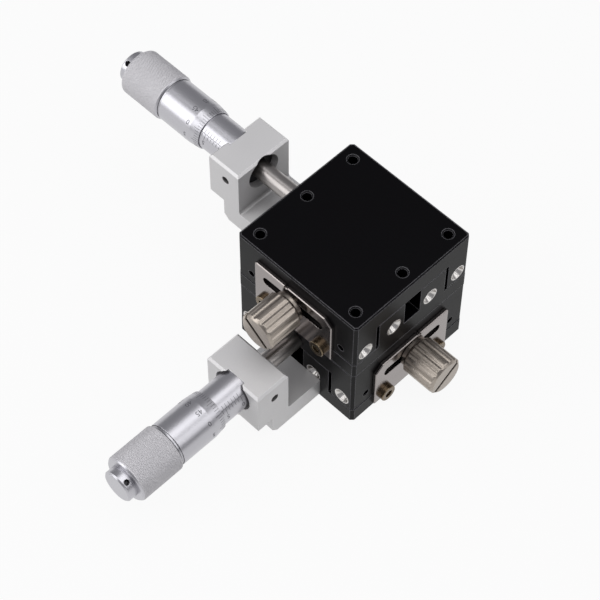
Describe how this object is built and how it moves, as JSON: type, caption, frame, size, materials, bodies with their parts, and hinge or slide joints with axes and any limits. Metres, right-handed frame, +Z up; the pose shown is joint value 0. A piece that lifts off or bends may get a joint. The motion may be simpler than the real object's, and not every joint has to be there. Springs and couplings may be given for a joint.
{
  "type": "linear translation stage",
  "caption": "Two-axis linear translation stage: stacked crossed-roller stages at right angles, each with a micrometer head, return spring and clamp knob.",
  "frame": {"origin": "centre of the lower base's underside", "axes": "+Z up; +X away from the lower micrometer, along the lower stage's travel; +Y towards the upper micrometer"},
  "size_m": [0.0994, 0.1119, 0.0433],
  "materials": {
    "black_anodised": "fine satin black anodised",
    "clear_anodised": "satin clear anodised",
    "satin_chrome": "satin chrome plate",
    "rail_steel": "ground hardened steel",
    "spring_steel": "drawn wire",
    "dark_screw_steel": "black oxide",
    "nickel": "bright nickel plate",
    "nickel_sheet": "nickel-plated steel sheet",
    "nickel_knob": "nickel-plated, fluted",
    "cage_brass": "plain"
  },
  "bodies": {
    "lower_base_assembly": {"lower_base": "black_anodised", "lower_inner_rails": "rail_steel", "lower_inner_rail_screws": "dark_screw_steel", "lower_base_end_screws": "nickel", "lower_base_spring_pin": "rail_steel", "lower_return_spring": "spring_steel", "lower_micrometer_bracket": "clear_anodised", "lower_bracket_screws": "dark_screw_steel", "lower_stem_set_screw": "dark_screw_steel", "lower_stem_clamp_screw": "nickel", "lower_micrometer_sleeve": "satin_chrome", "lower_adjusting_nut": "rail_steel", "lower_clamp_plate": "nickel_sheet", "lower_clamp_plate_screws": "dark_screw_steel"},
    "middle_assembly": {"lower_table": "black_anodised", "lower_outer_rails": "rail_steel", "lower_outer_rail_screws": "dark_screw_steel", "lower_table_end_screws": "nickel", "lower_preload_screws": "dark_screw_steel", "lower_table_spring_pin": "rail_steel", "lower_anvil": "rail_steel", "stacking_screws": "dark_screw_steel", "upper_base": "black_anodised", "upper_inner_rails": "rail_steel", "upper_inner_rail_screws": "dark_screw_steel", "upper_base_end_screws": "nickel", "upper_base_spring_pin": "rail_steel", "upper_return_spring": "spring_steel", "upper_micrometer_bracket": "clear_anodised", "upper_bracket_screws": "dark_screw_steel", "upper_stem_set_screw": "dark_screw_steel", "upper_stem_clamp_screw": "nickel", "upper_micrometer_sleeve": "satin_chrome", "upper_adjusting_nut": "rail_steel", "upper_clamp_plate": "nickel_sheet", "upper_clamp_plate_screws": "dark_screw_steel"},
    "top_assembly": {"upper_table": "black_anodised", "upper_outer_rails": "rail_steel", "upper_outer_rail_screws": "dark_screw_steel", "upper_table_end_screws": "nickel", "upper_preload_screws": "dark_screw_steel", "upper_table_spring_pin": "rail_steel", "upper_anvil": "rail_steel"},
    "lower_roller_train": {"lower_roller_cages": "cage_brass", "lower_rollers": "rail_steel"},
    "upper_roller_train": {"upper_roller_cages": "cage_brass", "upper_rollers": "rail_steel"},
    "lower_spindle_assembly": {"lower_spindle": "rail_steel"},
    "upper_spindle_assembly": {"upper_spindle": "rail_steel"},
    "lower_thimble_assembly": {"lower_thimble": "satin_chrome", "lower_thimble_cap": "satin_chrome"},
    "upper_thimble_assembly": {"upper_thimble": "satin_chrome", "upper_thimble_cap": "satin_chrome"},
    "lower_knob_assembly": {"lower_clamp_knob": "nickel_knob"},
    "upper_knob_assembly": {"upper_clamp_knob": "nickel_knob"}
  },
  "joints": [
    {"name": "lower_travel", "type": "slide", "parent": "lower_base_assembly", "child": "middle_assembly", "axis": [1, 0, 0], "range_m": [-0.0065, 0.0065], "deforming": ["lower_return_spring"]},
    {"name": "lower_roller_travel", "type": "slide", "parent": "lower_base_assembly", "child": "lower_roller_train", "axis": [1, 0, 0], "range_m": [-0.00325, 0.00325]},
    {"name": "lower_spindle_travel", "type": "slide", "parent": "lower_base_assembly", "child": "lower_spindle_assembly", "axis": [1, 0, 0], "range_m": [-0.0065, 0.0065]},
    {"name": "lower_thimble_turn", "type": "hinge", "parent": "lower_spindle_assembly", "child": "lower_thimble_assembly", "pos_m": [-0.0636, 0, 0.0164], "axis": [1, 0, 0], "range_deg": [-4680, 4680]},
    {"name": "lower_knob_turn", "type": "hinge", "parent": "middle_assembly", "child": "lower_knob_assembly", "pos_m": [0, -0.0212, 0.0123], "axis": [0, -1, 0], "range_deg": [0, 180]},
    {"name": "upper_travel", "type": "slide", "parent": "middle_assembly", "child": "top_assembly", "axis": [0, -1, 0], "range_m": [-0.0065, 0.0065], "deforming": ["upper_return_spring"]},
    {"name": "upper_roller_travel", "type": "slide", "parent": "middle_assembly", "child": "upper_roller_train", "axis": [0, -1, 0], "range_m": [-0.00325, 0.00325]},
    {"name": "upper_spindle_travel", "type": "slide", "parent": "middle_assembly", "child": "upper_spindle_assembly", "axis": [0, -1, 0], "range_m": [-0.0065, 0.0065]},
    {"name": "upper_thimble_turn", "type": "hinge", "parent": "upper_spindle_assembly", "child": "upper_thimble_assembly", "pos_m": [0, 0.0636, 0.0368], "axis": [0, -1, 0], "range_deg": [-4680, 4680]},
    {"name": "upper_knob_turn", "type": "hinge", "parent": "top_assembly", "child": "upper_knob_assembly", "pos_m": [-0.0212, 0, 0.0327], "axis": [-1, 0, 0], "range_deg": [0, 180]}
  ],
  "couplings": [
    {"joint": "lower_spindle_travel", "follows": "lower_travel", "ratio": 1},
    {"joint": "lower_roller_travel", "follows": "lower_travel", "ratio": 0.5},
    {"joint": "lower_thimble_turn", "follows": "lower_travel", "rad_per_m": 12566},
    {"joint": "upper_spindle_travel", "follows": "upper_travel", "ratio": 1},
    {"joint": "upper_roller_travel", "follows": "upper_travel", "ratio": 0.5},
    {"joint": "upper_thimble_turn", "follows": "upper_travel", "rad_per_m": 12566}
  ]
}
